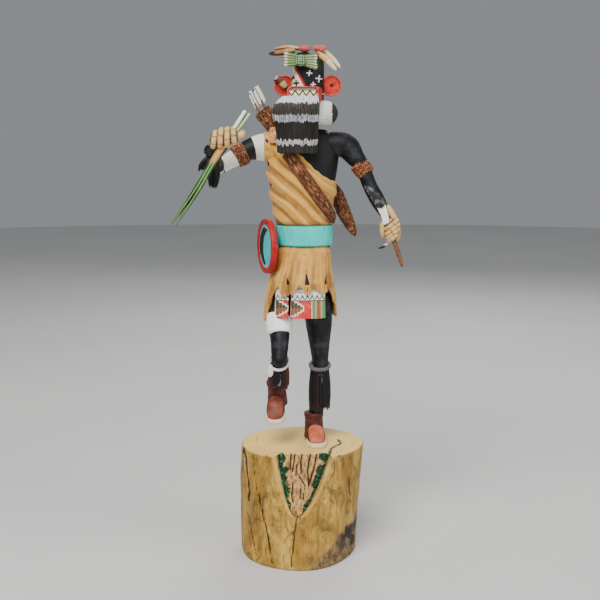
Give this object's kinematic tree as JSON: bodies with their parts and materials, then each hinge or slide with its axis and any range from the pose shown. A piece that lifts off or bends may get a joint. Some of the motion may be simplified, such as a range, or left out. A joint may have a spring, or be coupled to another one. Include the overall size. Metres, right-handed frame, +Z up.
{
  "type": "carved kachina doll",
  "caption": "Carved and painted wooden kachina doll dancing on one foot, with mask, beard, hide dress, belt, quiver, shield and hand-held props, on a forked root base.",
  "frame": {"origin": "middle of the base's flat underside, under the middle of the figure", "axes": "+Z up along the figure, -Y the way the doll faces, +X towards the doll's left hand"},
  "size_m": [0.1634, 0.098, 0.3695],
  "materials": {
    "base_wood": "dry cottonwood root, oiled mottled sides and a pale sawn top",
    "figure_paint": "carved wood painted in matt black, white, tan, turquoise, red and brown",
    "ear_red": "matt red paint on carved wood",
    "pendant_paint": "small carved and painted wooden ornament",
    "husk_green": "carved wood painted green and cream",
    "feather_brown": "carved wooden feather, brown and cream",
    "feather_cream": "carved wooden feather, cream",
    "tuft_red": "carved wooden tuft, matt red",
    "quiver_brown": "carved wood stained brown with a hatched hide texture",
    "fletching_white": "carved fletching, white edged in black",
    "shield_paint": "carved disc, red rim and turquoise face",
    "whip_green": "thin carved blades, green with white butts",
    "arrow_paint": "carved arrow, brown shaft and black and white feather",
    "tip_black": "thin carved tip, matt black"
  },
  "bodies": {
    "root": {"root_base": "base_wood", "carved_figure": "figure_paint", "right_ear": "ear_red", "left_ear": "ear_red", "ear_pendant": "pendant_paint", "husk_bow": "husk_green", "crest_feather_right_upper": "feather_brown", "crest_feather_right_lower": "feather_brown", "crest_feather_left_upper": "feather_cream", "crest_feather_left_lower": "feather_cream", "red_tuft_right": "tuft_red", "red_tuft_left": "tuft_red", "quiver": "quiver_brown", "quiver_arrow_outer": "fletching_white", "quiver_arrow_inner": "fletching_white", "hip_shield": "shield_paint", "yucca_whip": "whip_green", "hand_arrow": "arrow_paint", "dart_tip": "tip_black"}
  },
  "joints": []
}
